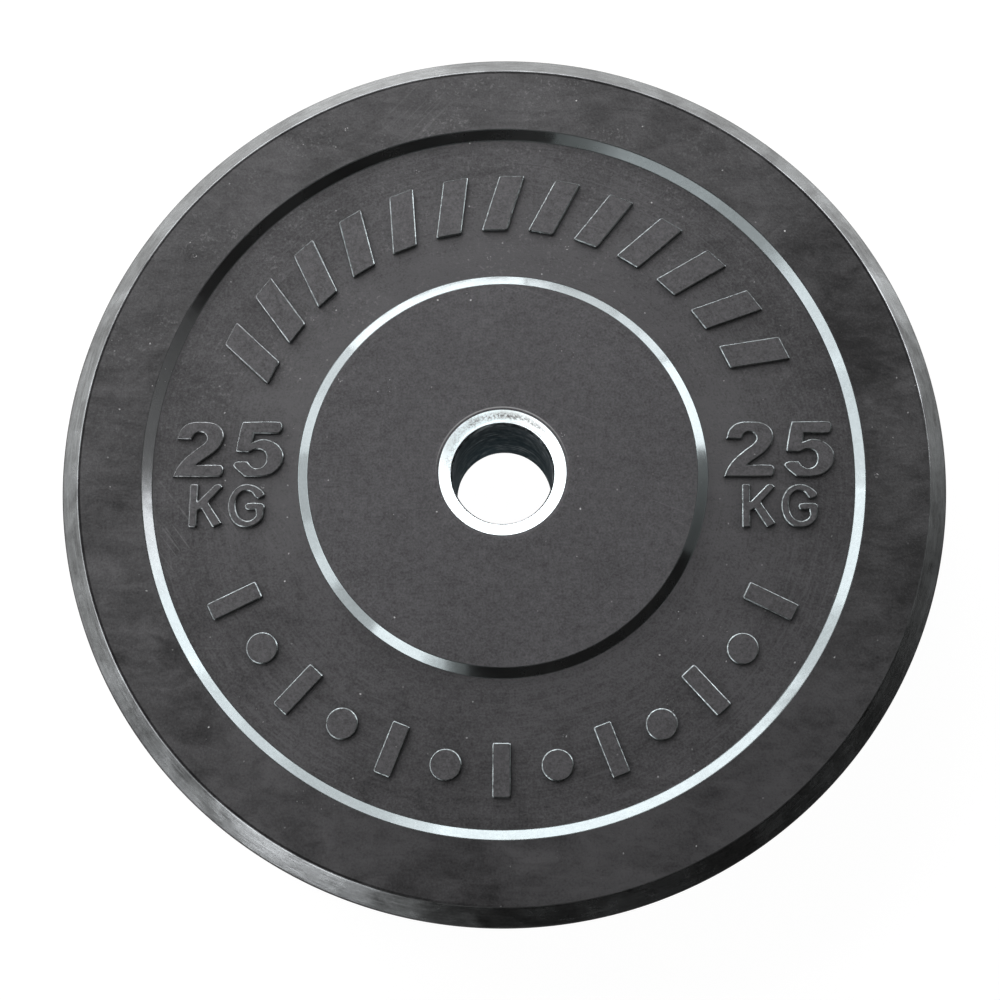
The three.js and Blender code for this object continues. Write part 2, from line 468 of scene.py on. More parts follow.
def sleeve_surround(n):
    """Worn rubber round the end of the sleeve, and a pale line round it that is painted only on the top side,
    as a highlight.
    """
    worn = n.ramp(n.radius, sleeve_radius, sleeve_radius + worn_width, 1.0, 0.0)
    line = n.band(n.radius, centre=halo_radius, inner=0.15 * MM, outer=0.5 * MM)
    # Painted highlight: the pale line shows only on the top side.
    lit = n.product(line, n.side(95, 0.0, 0.9, to_high=0.45))
    rubbed = n.product(worn, n.ramp(n.circling(900.0, 12.0), -0.02, 0.16))
    return lit, [(worn, 0.06), (rubbed, 0.6)]


def recess_wear_and_painted_light(n):
    """The floor is lighter near the boss, most on the top side, with dust and painted light; it is powdery
    above the boss and scratched in one place.
    """
    near_boss = n.ramp(n.radius, boss_foot_radius, dust_and_light_radius, 1.0, 0.0)
    scraped_spot = n.spot(x=-150 * MM, y=-42 * MM, reach=55 * MM)
    scraped = n.scratches(52, 0.08, n.product(scraped_spot, n.patches(45.0, -0.05, 0.15, detail=2.0)))
    swirl = n.ramp(n.circling(700.0, 5.0, roughness=0.7), 0.06, 0.2)
    swept = n.product(swirl, n.patches(9.0, -0.02, 0.12))
    streaks = n.mapped(n.mapped(n.place, turn=1.1), (60.0, 260.0, 60.0))
    smeared = n.ramp(n.noise(1.0, detail=4.0, roughness=0.7, source=streaks), 0.1, 0.25)
    dusty = n.product(smeared, n.patches(15.0, 0.0, 0.12))
    beside = n.ramp(n.math("ABSOLUTE", n.towards(172)), 0.55, 0.95)
    # Painted light, with dust: near the boss the floor is lighter and paler, most on the top side.
    dust_and_painted_light_haze = n.product(near_boss, n.side(95, -0.5, 0.0), beside)
    uneven = n.ramp(n.noise(40.0, detail=3.0, roughness=0.6, distortion=0.8), -0.06, 0.12, 0.15, 1.0)
    powder = n.powder(n.product(uneven, n.side(100, -0.3, 0.6)))
    chalk_and_painted_light = n.total(n.product(scraped, 0.07), (dust_and_painted_light_haze, 0.028), (powder, 0.085))
    dust_and_painted_light_near_boss = n.product(near_boss, n.side(95, -0.7, -0.1, to_low=0.3))
    return chalk_and_painted_light, [(dust_and_painted_light_near_boss, 0.7), (swept, 0.7), (dusty, 0.6)]


def rim_wear_and_painted_light(n):
    """The rim is darker along the bevel as painted shade, powdery above and smudged in one place, and painted
    lighter towards the bottom and darker towards the right.
    """
    smudge = n.spot(x=-44 * MM, y=192 * MM, reach=24 * MM)
    scraped = n.scratches(-48, 0.08, smudge)
    # Painted light: the rim is lighter towards the bottom and darker towards the right.
    painted_light_low_side = n.side(280, 0.5, 0.9)
    painted_shade_right_side = n.side(0, 0.85, 0.97)
    powdered = n.product(n.patches(30.0, -0.03, 0.12, detail=3.0, roughness=0.6), n.side(112, 0.3, 0.8))
    chalk_and_painted_light = n.total(n.product(scraped, 0.035), (n.powder(powdered), 0.1))
    return chalk_and_painted_light, [(n.painted_edge_shade(), -0.8), (smudge, 0.25), (painted_light_low_side, 0.35), (painted_shade_right_side, -0.3)]


def gloss_rubber(name, level, roughness, ior, grain, uneven):
    """Wall or edge that a polished mould leaves smooth; uneven is how much its gloss varies."""
    n = Finish(name)
    ripple = n.noise(60.0)
    fine = n.noise(700.0)
    worn = n.noise(330.0, detail=3.0, roughness=0.65)
    cloud = n.noise(26.0, detail=3.0, roughness=0.6, distortion=0.6)
    clean = n.shades(n.total(0.5, (cloud, 1.5)), grey, level, 0.6)
    base = n.blend(n.dust(0.3), clean, DUST_ON_GLOSS)
    rough = n.total(roughness, (ripple, roughness))
    sheen = n.total(0.5, (worn, uneven), (fine, uneven))
    # Painted reflection colour: the wall's tint is less blue on the left of the recess.
    left_of_recess = n.product(n.ramp(n.radius, boss_foot_radius, recess_radius), n.side(165, 0.8, 0.97))
    tint = n.blend(left_of_recess, PAINTED_WALL_REFLECTION_TINT, PAINTED_LEFT_WALL_REFLECTION_TINT)
    normal = n.bump(n.total(ripple, (fine, grain)), 0.1 * MM)
    return n.surface(base, rough, normal, ior=ior, sheen=sheen, tint=tint)


def bevel_rubber(name, level, roughness, ior):
    """Bevel with fine marks along the edge and cloudy wear."""
    n = Finish(name)
    wear = n.noise(38.0, detail=4.0, roughness=0.65, distortion=1.0)
    patch = n.ramp(n.noise(26.0, detail=3.0, roughness=0.6, distortion=1.2), -0.04, 0.12)
    marks = n.circling(1300.0, 10.0, roughness=0.7)
    drag = n.circling(500.0, 16.0, roughness=0.7)
    fine = n.noise(600.0, detail=3.0, roughness=0.7)
    tone = n.total(0.5, (wear, 0.9), (marks, 0.6), (drag, 0.4), (fine, 0.8))
    base = n.shades(tone, grey, level, 0.6)
    rough = n.total(roughness, (wear, 0.25), (patch, 0.06))
    height = n.total(0.0, (marks, 0.5), (drag, 0.6), (fine, 0.15))
    # Glossier patches towards the upper right: scuffs, with painted highlight.
    scuffs_and_painted_highlight = n.product(patch, n.side(38, 0.7, 0.95))
    sheen = n.total(0.4, (patch, 0.17), (scuffs_and_painted_highlight, 0.2), (wear, 0.6), (marks, 0.6), (drag, 0.6), (fine, 0.3))
    return n.surface(base, rough, n.bump(height, 0.05 * MM), ior=ior, sheen=sheen, tint=PAINTED_BEVEL_REFLECTION_TINT)


def tread_rubber(name, level, roughness, ior):
    """The outer wall: satin, with scuffs from the floor, and painted shade on its corners, darker and less
    glossy, most towards the upper left.
    """
    n = Finish(name)
    wall_top = half_thickness - bevel_depth
    at_corner = n.ramp(n.away(n.z, middle_height), wall_top - 0.9 * MM, wall_top - 0.3 * MM)
    # Painted shade: darker, less glossy corners, most towards the upper left.
    grime_and_painted_shade = n.product(at_corner, n.side(160, 0.78, 0.92, to_low=0.5))
    cloud = n.noise(14.0, detail=3.0, roughness=0.6, distortion=0.6)
    mottle = n.noise(300.0, detail=3.0, roughness=0.65)
    drag = n.drawn((12.0, 12.0, 900.0), detail=3.0, roughness=0.7)
    lines = n.drawn((20.0, 20.0, 1400.0), detail=2.0, roughness=0.6)
    scuff = n.product(n.ramp(lines, 0.1, 0.2), n.patches(9.0, 0.04, 0.16, detail=2.0))
    tone = n.total(0.5, (cloud, 0.9), (mottle, 1.0), (drag, 0.15), (scuff, 0.7), (grime_and_painted_shade, -0.6))
    base = n.shades(tone, black_rubber, level, 0.5)
    rough = n.total(roughness, (cloud, 0.25), (mottle, 0.15), (scuff, 0.15))
    height = n.total(0.0, (mottle, 0.7), (drag, 0.15))
    sheen = n.total(0.45, (cloud, 0.3), (drag, 0.1), (grime_and_painted_shade, -0.4))
    return n.surface(base, rough, n.bump(height, 0.06 * MM), ior=ior, sheen=sheen)


def plated_steel(name):
    """Zinc plate, stained on one side of the cone, painted darker on its top side as shade, and rubbed where
    bars have gone through.
    """
    n = Finish(name)
    turning = n.circling(2600.0, 2.0, roughness=0.6)
    cloud = n.noise(120.0, detail=3.0, roughness=0.6)
    pits = n.noise(1100.0, detail=2.0, roughness=0.6)
    path = n.band(n.radius, centre=rubbed_radius, inner=0.3 * MM, outer=1.9 * MM)
    grime_and_painted_shade = n.ramp(n.total(0.0, (cloud, 0.9), (pits, 1.3)), -0.2, 0.2)
    rubbed = n.product(path, n.side(81, 0.55, 0.95), grime_and_painted_shade)
    blotches = n.ramp(n.total(0.0, (cloud, 0.7), (pits, 0.7)), -0.02, 0.2)
    stain = n.product(blotches, n.side(150, 0.5, 0.95, 0.3, 0.8))
    # Painted shade: the cone is darker on its top side.
    painted_shade_side = n.product(n.side(95, 0.1, 0.9), n.side(118, 0.85, 0.97, 1.0, 0.2))
    on_cone = n.ramp(n.radius, 27.8 * MM, 30.2 * MM, 0.25, 0.75)
    off_ring = n.ramp(n.radius, 31.3 * MM, 32.3 * MM, 1.0, 0.6)
    painted_shade = n.product(painted_shade_side, on_cone, off_ring)
    plate = n.blend(painted_shade, n.blend(stain, ZINC, STAINED_ZINC), SHADED_ZINC)
    base = n.blend(rubbed, plate, RUBBED_ZINC)
    rough = n.total(0.72, (cloud, 0.3), (n.side(122, 0.4, 0.9), 0.2))
    height = n.total(0.0, (turning, 0.6), (pits, 0.4))
    return n.surface(base, rough, n.bump(height, 0.03 * MM), metallic=1.0)


def bore_steel(name):
    """Oiled, unplated inside of the bore, with streaks where bars have rubbed it."""
    n = Finish(name)
    height = n.away(n.z, middle_height)
    rings = n.drawn((9.0, 9.0, 190.0), detail=4.0, roughness=0.65)
    streaks = n.ramp(n.drawn((55.0, 55.0, 420.0), detail=3.0, roughness=0.65), 0.02, 0.2)
    fleck = n.noise(240.0, detail=3.0, roughness=0.65)
    inside = n.band(height, centre=14 * MM, inner=2 * MM, outer=9 * MM)
    at_mouth = n.band(height, centre=33.5 * MM, inner=1 * MM, outer=3 * MM)
    worn = n.product(streaks, n.patches(42.0, -0.05, 0.15, detail=2.0), n.largest(inside, at_mouth))
    tone = n.total(0.05, (rings, 0.4), (fleck, 0.9), (worn, 1.4))
    base = n.blend(tone, OILED_STEEL, BARE_STEEL)
    # Painted shade: near each mouth the reflections are tinted almost black.
    mouth = n.ramp(height, half_thickness - 7.5 * MM, half_thickness - 5.5 * MM)
    tint = n.blend(mouth, n.blend(tone, OILED_TINT, BARE_TINT), MOUTH_SHADE_TINT)
    return n.surface(base, n.total(0.55, (fleck, 0.3)), n.bump(rings, 0.05 * MM), metallic=1.0, tint=tint)


def dark_metal(name, level, scale, roughness, warm=1.0):
    """Steel as rolled or as welded, for the pieces inside the rubber."""
    n = Finish(name)
    scale_marks = n.noise(scale, detail=4.0, roughness=0.65)
    dark = colour(level * 0.6, level * 0.6, level * 0.62)
    bright = colour(level * warm, level, level / warm)
    base = n.blend(n.total(0.5, (scale_marks, 1.5)), dark, bright)
    rough = n.total(roughness, (scale_marks, 0.4))
    return n.surface(base, rough, n.bump(scale_marks, 0.1 * MM), metallic=1.0)


# Objects and meshes

def placed(name, data):
    """A new object in the scene."""
    thing = bpy.data.objects.new(name, data)
    bpy.context.scene.collection.objects.link(thing)
    return thing


def listed_mesh(name, verts, faces):
    mesh = bpy.data.meshes.new(name)
    mesh.from_pydata(verts, [], faces)
    return mesh


def built_mesh(name, work):
    """The mesh that a bmesh has built."""
    mesh = bpy.data.meshes.new(name)
    work.to_mesh(mesh)
    work.free()
    return mesh


def mesh_piece(name, mesh, materials):
    """A mesh's object, with its faces pointing out and only its true edges sharp."""
    work = bmesh.new()
    work.from_mesh(mesh)
    bmesh.ops.recalc_face_normals(work, faces=work.faces)
    work.to_mesh(mesh)
    work.free()
    mesh.polygons.foreach_set("use_smooth", [True] * len(mesh.polygons))
    mesh.set_sharp_from_angle(angle=CREASE_ANGLE)
    for material in materials:
        mesh.materials.append(material)
    return placed(name, mesh)


def belongs(piece, slot, *nodes):
    """Ties a piece to the plate's body and hides the CAD nodes that it stands for; its slot is not used."""
    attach(piece, "root")
    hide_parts(*nodes)


def corner(radius, height, rounding=0.0, finish=0):
    """A profile corner; finish is the material of the stretch that follows it."""
    return (radius, height, rounding, finish)


def mirrored(half):
    """A half profile and, after it, the same below the middle plane with each stretch's finish kept."""
    flipped = [(c[0], -c[1], c[2], half[i - 1][3] if i else 0) for i, c in enumerate(half)]
    return half + flipped[::-1]


def bend(start, through, end):
    """Places along the curve from start to end that rounds the corner between them."""
    shares = [k / ROUNDING_STEPS for k in range(ROUNDING_STEPS + 1)]
    return [start * (1 - t) ** 2 + through * 2 * t * (1 - t) + end * t ** 2 for t in shares]


def rounded(corners):
    """Points (place, finish) of a closed profile, with its marked corners rounded."""
    points = []
    for i, (radius, height, rounding, finish) in enumerate(corners):
        here = Vector((radius, height))
        if not rounding:
            points.append((here, finish))
            continue
        to_before = (Vector(corners[i - 1][:2]) - here).normalized()
        to_after = (Vector(corners[(i + 1) % len(corners)][:2]) - here).normalized()
        start = here + to_before * rounding
        end = here + to_after * rounding
        earlier = corners[i - 1][3]
        points.append((start + to_before * SUPPORT_WIDTH, earlier))
        *curve, last = bend(start, here, end)
        points += [(place, max(earlier, finish)) for place in curve]
        points.append((last, finish))
        points.append((end + to_after * SUPPORT_WIDTH, finish))
    return points


def sunk(place, reach):
    """The place moved in towards the axis by a smooth, small amount of up to reach."""
    swell = (1 + noise.noise(place * waves_per_metre)) / 2
    inward = Vector((place.x, place.y, 0)).normalized() * reach * swell
    return place - inward


def turned(name, corners, segments, materials, waviness=0.0):
    """A closed ring turned about the bore axis."""
    profile = rounded(corners)
    count = len(profile)
    lift = Vector((0, 0, middle_height))
    verts = []
    faces = []
    finishes = []
    for s in range(segments):
        turn = 2 * math.pi * s / segments
        following = (s + 1) % segments
        for k, (point, finish) in enumerate(profile):
            place = Vector((point.x * math.cos(turn), point.x * math.sin(turn), point.y))
            if waviness and point.x > anchor_radius + seat_gap:
                place = sunk(place, waviness)
            verts.append(place + lift)
            after = (k + 1) % count
            faces.append((s * count + k, s * count + after, following * count + after, following * count + k))
            finishes.append(finish)
    mesh = listed_mesh(name, verts, faces)
    mesh.polygons.foreach_set("material_index", finishes)
    return mesh_piece(name, mesh, materials)


# Rubber disc

# Its materials, in the order in which rubber_disc gets them
BOSS, FLOOR, RIM, BEVEL, TREAD, WALL = range(6)


def lock_posts():
    """The rubber that fills the anchor disc's holes."""
    work = bmesh.new()
    circle_radius = (seat_radius + weld_leg + anchor_radius) / 2
    radius = lock_hole_radius - seat_gap
    length = 2 * (slot_half + post_overlap)
    for i in range(lock_hole_count):
        angle = 2 * math.pi * i / lock_hole_count
        place = (circle_radius * math.cos(angle), circle_radius * math.sin(angle), middle_height)
        bmesh.ops.create_cone(work, cap_ends=True, segments=CIRCLE_STEPS, radius1=radius, radius2=radius,
                              depth=length, matrix=Matrix.Translation(place))
    return mesh_piece("lock_posts", built_mesh("lock_posts", work), [])


def joined_with(piece, addition):
    """Fuses a closed addition into a piece."""
    union = piece.modifiers.new("union", "BOOLEAN")
    union.operation = "UNION"
    union.solver = "MANIFOLD"
    union.object = addition
    fused = bpy.data.meshes.new_from_object(piece.evaluated_get(bpy.context.evaluated_depsgraph_get()))
    piece.modifiers.clear()
    piece.data = fused
    bpy.data.objects.remove(addition)


def rubber_disc(finishes):
    weld_pocket = weld_leg + seat_gap
    key_radius = seat_radius - groove_depth
    key_half = groove_half_width - seat_gap
    profile = mirrored([
        corner(anchor_radius + seat_gap, slot_half),
        corner(seat_radius + weld_pocket, slot_half),
        corner(seat_radius, slot_half + weld_pocket),
        corner(seat_radius, groove_height - key_half),
        corner(key_radius, groove_height - key_half),
        corner(key_radius, groove_height + key_half),
        corner(seat_radius, groove_height + key_half),
        corner(seat_radius, half_thickness - lip_depth, finish=BOSS),
        corner(seat_radius + lip_width, half_thickness, lip_rounding, BOSS),
        corner(boss_radius, half_thickness, edge_rounding, WALL),
        corner(boss_foot_radius, recess_height, edge_rounding, FLOOR),
        corner(recess_radius, recess_height, edge_rounding, WALL),
        corner(rim_inner_radius, half_thickness, edge_rounding, RIM),
        corner(rim_edge_radius, half_thickness, rim_rounding, BEVEL),
        corner(outer_radius, half_thickness - bevel_depth, outer_rounding, TREAD),
        corner(outer_radius, parting_half_width, finish=TREAD),
        corner(outer_radius - parting_depth, parting_foot_half_width, finish=TREAD),
    ])
    disc = turned("rubber_disc_skin", profile, DISC_SEGMENTS, finishes, edge_waviness)
    joined_with(disc, lock_posts())
    belongs(disc, "rubber", "rubber_disc")


# Raised marks

def flowing(points, width, height, left, base):
    """An outline through points given as shares, straight at corners (marked True) and curved elsewhere."""
    places = [Vector((left + p[0] * width, base + p[1] * height)) for p in points]
    sharp = [len(p) > 2 for p in points]
    count = len(places)
    outline = []
    for i, here in enumerate(places):
        j = (i + 1) % count
        there = places[j]
        step = there - here
        leave = step if sharp[i] else slope(places, i) * step.length
        arrive = step if sharp[j] else slope(places, j) * step.length
        if sharp[i] and sharp[j]:
            outline.append(here)
            continue
        outline += [hermite(here, leave, there, arrive, k / CURVE_STEPS) for k in range(CURVE_STEPS)]
    return outline


def slope(places, i):
    """Direction in which a smooth outline passes its point i."""
    before = places[i] - places[i - 1]
    after = places[(i + 1) % len(places)] - places[i]
    return (before + after).normalized()


def hermite(start, leave, end, arrive, t):
    """Point at share t of the cubic curve from start to end."""
    return (start * (2 * t ** 3 - 3 * t ** 2 + 1) + leave * (t ** 3 - 2 * t ** 2 + t)
            + end * (3 * t ** 2 - 2 * t ** 3) + arrive * (t ** 3 - t ** 2))


def soft_polygon(corners, rounding):
    """A polygon's outline with its corners rounded."""
    outline = []
    for i, here in enumerate(corners):
        start = here + (corners[i - 1] - here).normalized() * rounding
        end = here + (corners[(i + 1) % len(corners)] - here).normalized() * rounding
        outline += bend(start, here, end)
    return outline


def circle(centre, radius):
    turns = [2 * math.pi * k / CIRCLE_STEPS for k in range(CIRCLE_STEPS)]
    return [centre + Vector((math.cos(turn), math.sin(turn))) * radius for turn in turns]


def inset(outline, distance):
    """The outline, listed anticlockwise, moved inward by a distance."""
    moved = []
    for i, here in enumerate(outline):
        arrive = (here - outline[i - 1]).normalized()
        leave = (outline[(i + 1) % len(outline)] - here).normalized()
        inward = Vector((-arrive.y - leave.y, arrive.x + leave.x))
        moved.append(here + inward * distance / max(1 + arrive.dot(leave), MITRE_LIMIT))
    return moved


def side_steps():
    """Inset and height above the recess floor of each ring of a raised mark's side."""
    return [(-relief_draft, -relief_embed), (0.0, relief_height - relief_edge_drop),
            (relief_edge_run, relief_height), (relief_edge_run + SUPPORT_WIDTH, relief_height)]


# The marks' materials, in the order in which all_marks gets them
MARK_TOP, MARK_SIDE = range(2)


def raised(name, outlines, side, finishes):
    """Raised marks on the front (side 1) or the rear (side -1) recess floor."""
    work = bmesh.new()
    for outline in outlines:
        rings = []
        for distance, height in side_steps():
            z = middle_height + side * (recess_height + height)
            rings.append([work.verts.new((side * p.x, p.y, z)) for p in inset(outline, distance)])
        for lower, upper in zip(rings, rings[1:]):
            for k in range(len(lower)):
                face = work.faces.new((lower[k - 1], lower[k], upper[k], upper[k - 1]))
                face.material_index = MARK_SIDE
        for cap in (rings[0], rings[-1]):
            work.faces.new(cap).material_index = MARK_TOP
    work.normal_update()
    bmesh.ops.triangulate(work, faces=[face for face in work.faces if len(face.verts) > 4])
    belongs(mesh_piece(name, built_mesh(name, work), finishes), "rubber", "rubber_disc")


def recess_radius_at(share):
    """Radius at a share of the way from the boss to the outer wall of the recess."""
    return boss_foot_radius + (recess_radius - boss_foot_radius) * share


def bar_outline(band, width, lean):
    """A bar across its band, above the bore, with its outer end moved sideways by the lean."""
    inner, outer = recess_radius_at(band[0]), recess_radius_at(band[1])
    corners = [Vector((-(width + lean) / 2, inner)), Vector(((width - lean) / 2, inner)),
               Vector(((width + lean) / 2, outer)), Vector((-(width - lean) / 2, outer))]
    return soft_polygon(corners, bar_corner)


def spread(count, centre, make_outline):
    """Marks turned to their places along a band that is centred on a direction."""
    marks = []
    for i in range(count):
        turn = centre + band_half_sweep * (1 - 2 * i / (count - 1))
        rotation = Matrix.Rotation(turn, 2)
        marks.append([rotation @ p for p in make_outline(i)])
    return marks


def upper_mark(i):
    return bar_outline(upper_band_shares, slant_bar_width, slant_bar_lean)


def lower_mark(i):
    """Bars and round pips in turn."""
    if i % 2 == 0:
        return bar_outline(lower_band_shares, straight_bar_width, 0)
    middle = recess_radius_at(sum(lower_band_shares) / 2)
    return circle(Vector((0, middle)), pip_radius)


# Outlines as shares of a glyph's width and height, anticlockwise; True marks a corner
TWO_SHARES = [
    (0.0, 0.0, True), (0.935, 0.003), (0.989, 0.05), (1.0, 0.165), (0.943, 0.21), (0.464, 0.212, True),
    (0.626, 0.317), (0.796, 0.425), (0.935, 0.56), (0.997, 0.727), (0.951, 0.874), (0.796, 0.972),
    (0.549, 1.0), (0.286, 0.972), (0.124, 0.853), (0.062, 0.69, True), (0.355, 0.682, True),
    (0.417, 0.776), (0.51, 0.813), (0.61, 0.79), (0.665, 0.698), (0.61, 0.607), (0.425, 0.481),
    (0.224, 0.327), (0.077, 0.158),
]
FIVE_SHARES = [
    (0.165, 1.0, True), (0.118, 0.857, True), (0.044, 0.479), (0.071, 0.457), (0.307, 0.446, True),
    (0.457, 0.5), (0.614, 0.457), (0.661, 0.329), (0.606, 0.2), (0.472, 0.15), (0.362, 0.186),
    (0.276, 0.274, True), (0.063, 0.269), (0.0, 0.2), (0.228, 0.003, True), (0.535, 0.0),
    (0.756, 0.043), (0.929, 0.171), (0.997, 0.343), (0.961, 0.493), (0.819, 0.621), (0.583, 0.683),
    (0.37, 0.629, True), (0.402, 0.789, True), (0.89, 0.789), (0.948, 0.843), (0.956, 0.95),
    (0.906, 1.0),
]
K_SHARES = [
    (0.0, 0.0), (0.235, 0.0), (0.243, 0.372), (0.378, 0.436), (0.745, -0.01), (1.01, 0.085),
    (0.574, 0.573), (1.01, 0.935), (0.93, 1.0), (0.79, 1.0), (0.243, 0.58), (0.253, 1.0), (0.017, 1.0),
]
G_SHARES = [
    (0.989, 0.756), (0.824, 0.916), (0.546, 1.0), (0.268, 0.943), (0.075, 0.756), (0.0, 0.507),
    (0.075, 0.222), (0.268, 0.044), (0.525, 0.0), (0.76, 0.044), (0.942, 0.187), (0.985, 0.374),
    (1.0, 0.489), (0.921, 0.552), (0.535, 0.552), (0.471, 0.489), (0.525, 0.413),
    (0.76, 0.413, True), (0.771, 0.267), (0.653, 0.169), (0.493, 0.146), (0.31, 0.231),
    (0.214, 0.409), (0.214, 0.641), (0.321, 0.792), (0.471, 0.851), (0.642, 0.81), (0.76, 0.69),
    (0.867, 0.673),
]


def weight_marks():
    """The number and its unit, on both sides of the boss."""
    outlines = []
    for centre in (-weight_mark_distance, weight_mark_distance):
        for shares, left in zip((TWO_SHARES, FIVE_SHARES), digit_lefts):
            outlines.append(flowing(shares, digit_width, digit_height, centre + left, digit_base))
        k_left, g_left = (centre + left for left in letter_lefts)
        k_width, g_width = letter_widths
        k_corners = [Vector((k_left + x * k_width, letter_base + y * letter_height)) for x, y in K_SHARES]
        outlines.append(soft_polygon(k_corners, letter_corner))
        outlines.append(flowing(G_SHARES, g_width, letter_height, g_left, letter_base))
    return outlines


def all_marks(finishes):
    groups = {"slant_bars_": spread(slant_bar_count, 0, upper_mark),
              "lower_marks_": spread(lower_mark_count, math.pi, lower_mark),
              "weight_marks_": weight_marks()}
    for face_name, side in (("front", 1), ("rear", -1)):
        for group_name, outlines in groups.items():
            raised(group_name + face_name, outlines, side, finishes)


# Steel sleeve

BORE, PLATED = range(2)


def hub_sleeve():
    groove_radius = sleeve_radius - groove_depth
    profile = mirrored([
        corner(bore_radius, half_thickness - bore_depth, bore_rounding, BORE),
        corner(bead_inner_radius, half_thickness - bead_inner_depth, finish=PLATED),
        corner(bead_radius, half_thickness - bead_depth, bead_rounding, PLATED),
        corner(cone_foot_radius, half_thickness - cone_depth, bead_rounding, PLATED),
        corner(cone_top_radius, half_thickness, sleeve_edge_rounding, PLATED),
        corner(sleeve_radius, half_thickness, finish=PLATED),
        corner(sleeve_radius, groove_height + groove_half_width, finish=PLATED),
        corner(groove_radius, groove_height + groove_half_width, finish=PLATED),
        corner(groove_radius, groove_height - groove_half_width, finish=PLATED),
        corner(sleeve_radius, groove_height - groove_half_width, finish=PLATED),
    ])
    finishes = [bore_steel("bore_steel"), plated_steel("plated_steel")]
    sleeve = turned("hub_sleeve_turned", profile, SLEEVE_SEGMENTS, finishes)
    belongs(sleeve, "plated_steel", "hub_sleeve")


def inner_steel():
    """Finishes of the CAD pieces that the rubber hides."""
    weld_finish = dark_metal("weld_metal", level=0.4, scale=240.0, roughness=0.45, warm=1.08)
    disc_finish = dark_metal("mill_steel", level=0.3, scale=90.0, roughness=0.55)
    finishes = {"anchor_disc": disc_finish, "front_weld": weld_finish, "rear_weld": weld_finish}
    for node_name, finish in finishes.items():
        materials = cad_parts[node_name].data.materials
        materials.clear()
        materials.append(finish)


# Camera at the photograph's place: where it stands, which way its back points, and its lens
CAMERA_PLACE = Vector((14.64, -187.94, 1006.58)) * MM
CAMERA_BACK = Vector((0.01677, -0.18416, 0.98275))
LENS_MM = 67.53
SENSOR_MM = 36.0


def make_camera():
    data = bpy.data.cameras.new("camera")
    data.lens = LENS_MM
    data.sensor_width = SENSOR_MM
    data.sensor_fit = "HORIZONTAL"
    camera = placed("camera", data)
    back = CAMERA_BACK.normalized()
    across = Vector((1, 0, 0))
    right = (across - back * across.dot(back)).normalized()
    turn = Matrix((right, back.cross(right), back)).transposed()
    camera.matrix_world = Matrix.Translation(CAMERA_PLACE) @ turn.to_4x4()
    bpy.context.scene.camera = camera


# Floor, world and light

FLOOR_HALF_WIDTH = 4.0
FLOOR_SINK = 0.2 * MM
FLOOR_COVERED_RADIUS = 0.15
FLOOR_IN_GLOSS = 1.2
# Directions in which the bevel mirrors a lighter or darker floor, with their half widths and factors
FLOOR_PATCHES = [(36, 9, 1.25), (107, 10, 1.55), (178, 9, 0.8), (209, 10, 0.5), (248, 8, 0.5)]
DARK_SIDE = 322
WORLD_ON_MATTE = 0.2


def make_floor():
    """White to look at; in the gloss it is grey, and dark close to the plate, where that shades it."""
    n = Finish("floor")
    seen, mirrored_ray = n.rays()
    white = n.product(seen, n.ramp(n.radius, FLOOR_COVERED_RADIUS, outer_radius, 1.0, 0.975))
    share = n.product(n.side(DARK_SIDE, 0.45, 0.85, 1.0, 0.12),
                      n.ramp(n.radius, FLOOR_COVERED_RADIUS, outer_radius, to_low=0.35))
    shade = n.band(n.radius, centre=outer_radius + 25 * MM, inner=20 * MM, outer=80 * MM)
    share = n.product(share, n.total(1.0, (shade, -0.95)))
    for direction, half_width, factor in FLOOR_PATCHES:
        limit = math.cos(math.radians(half_width))
        share = n.product(share, n.side(direction, limit, (1 + limit) / 2, 1.0, factor))
    glow = n.add("ShaderNodeEmission")
    n.feed(glow.inputs["Strength"], n.total(white, (n.product(mirrored_ray, share), FLOOR_IN_GLOSS)))
    diffuse = n.add("ShaderNodeBsdfDiffuse")
    unseen = n.blend(n.product(mirrored_ray, shade), UNSEEN_FLOOR, SHADED_FLOOR)
    n.feed(diffuse.inputs["Color"], n.blend(seen, unseen, SEEN_FLOOR))
    both = n.add("ShaderNodeAddShader")
    n.feed(both.inputs[0], glow.outputs[0])
    n.feed(both.inputs[1], diffuse.outputs[0])
    n.finish("ShaderNodeOutputMaterial", both)
    reach = FLOOR_HALF_WIDTH
    corners = [(-reach, -reach, 0), (reach, -reach, 0), (reach, reach, 0), (-reach, reach, 0)]
    mesh = listed_mesh("floor", corners, [(0, 1, 2, 3)])
    mesh.materials.append(n.owner)
    floor = placed("floor", mesh)
    floor.location.z = -FLOOR_SINK


def make_world():
    """White to look at; in the gloss it is darker overhead, where the photographer stands."""
    n = Nodes(bpy.data.worlds.new("studio"))
    x, y, z = n.apart(n.add("ShaderNodeTexCoord").outputs["Generated"])
    overhead = n.ramp(z, 0.6, 0.95, 1.0, 0.25)
    lit_side = n.ramp(n.along(x, y, DARK_SIDE), 0.55, 0.8, 1.0, 0.4)
    seen, mirrored_ray = n.rays()
    in_gloss = n.product(mirrored_ray, overhead, lit_side)
    background = n.add("ShaderNodeBackground")
    n.feed(background.inputs["Strength"], n.largest(seen, in_gloss, WORLD_ON_MATTE))
    n.feed(background.inputs["Color"], grey(1.0))
    n.finish("ShaderNodeOutputWorld", background)
    bpy.context.scene.world = n.owner


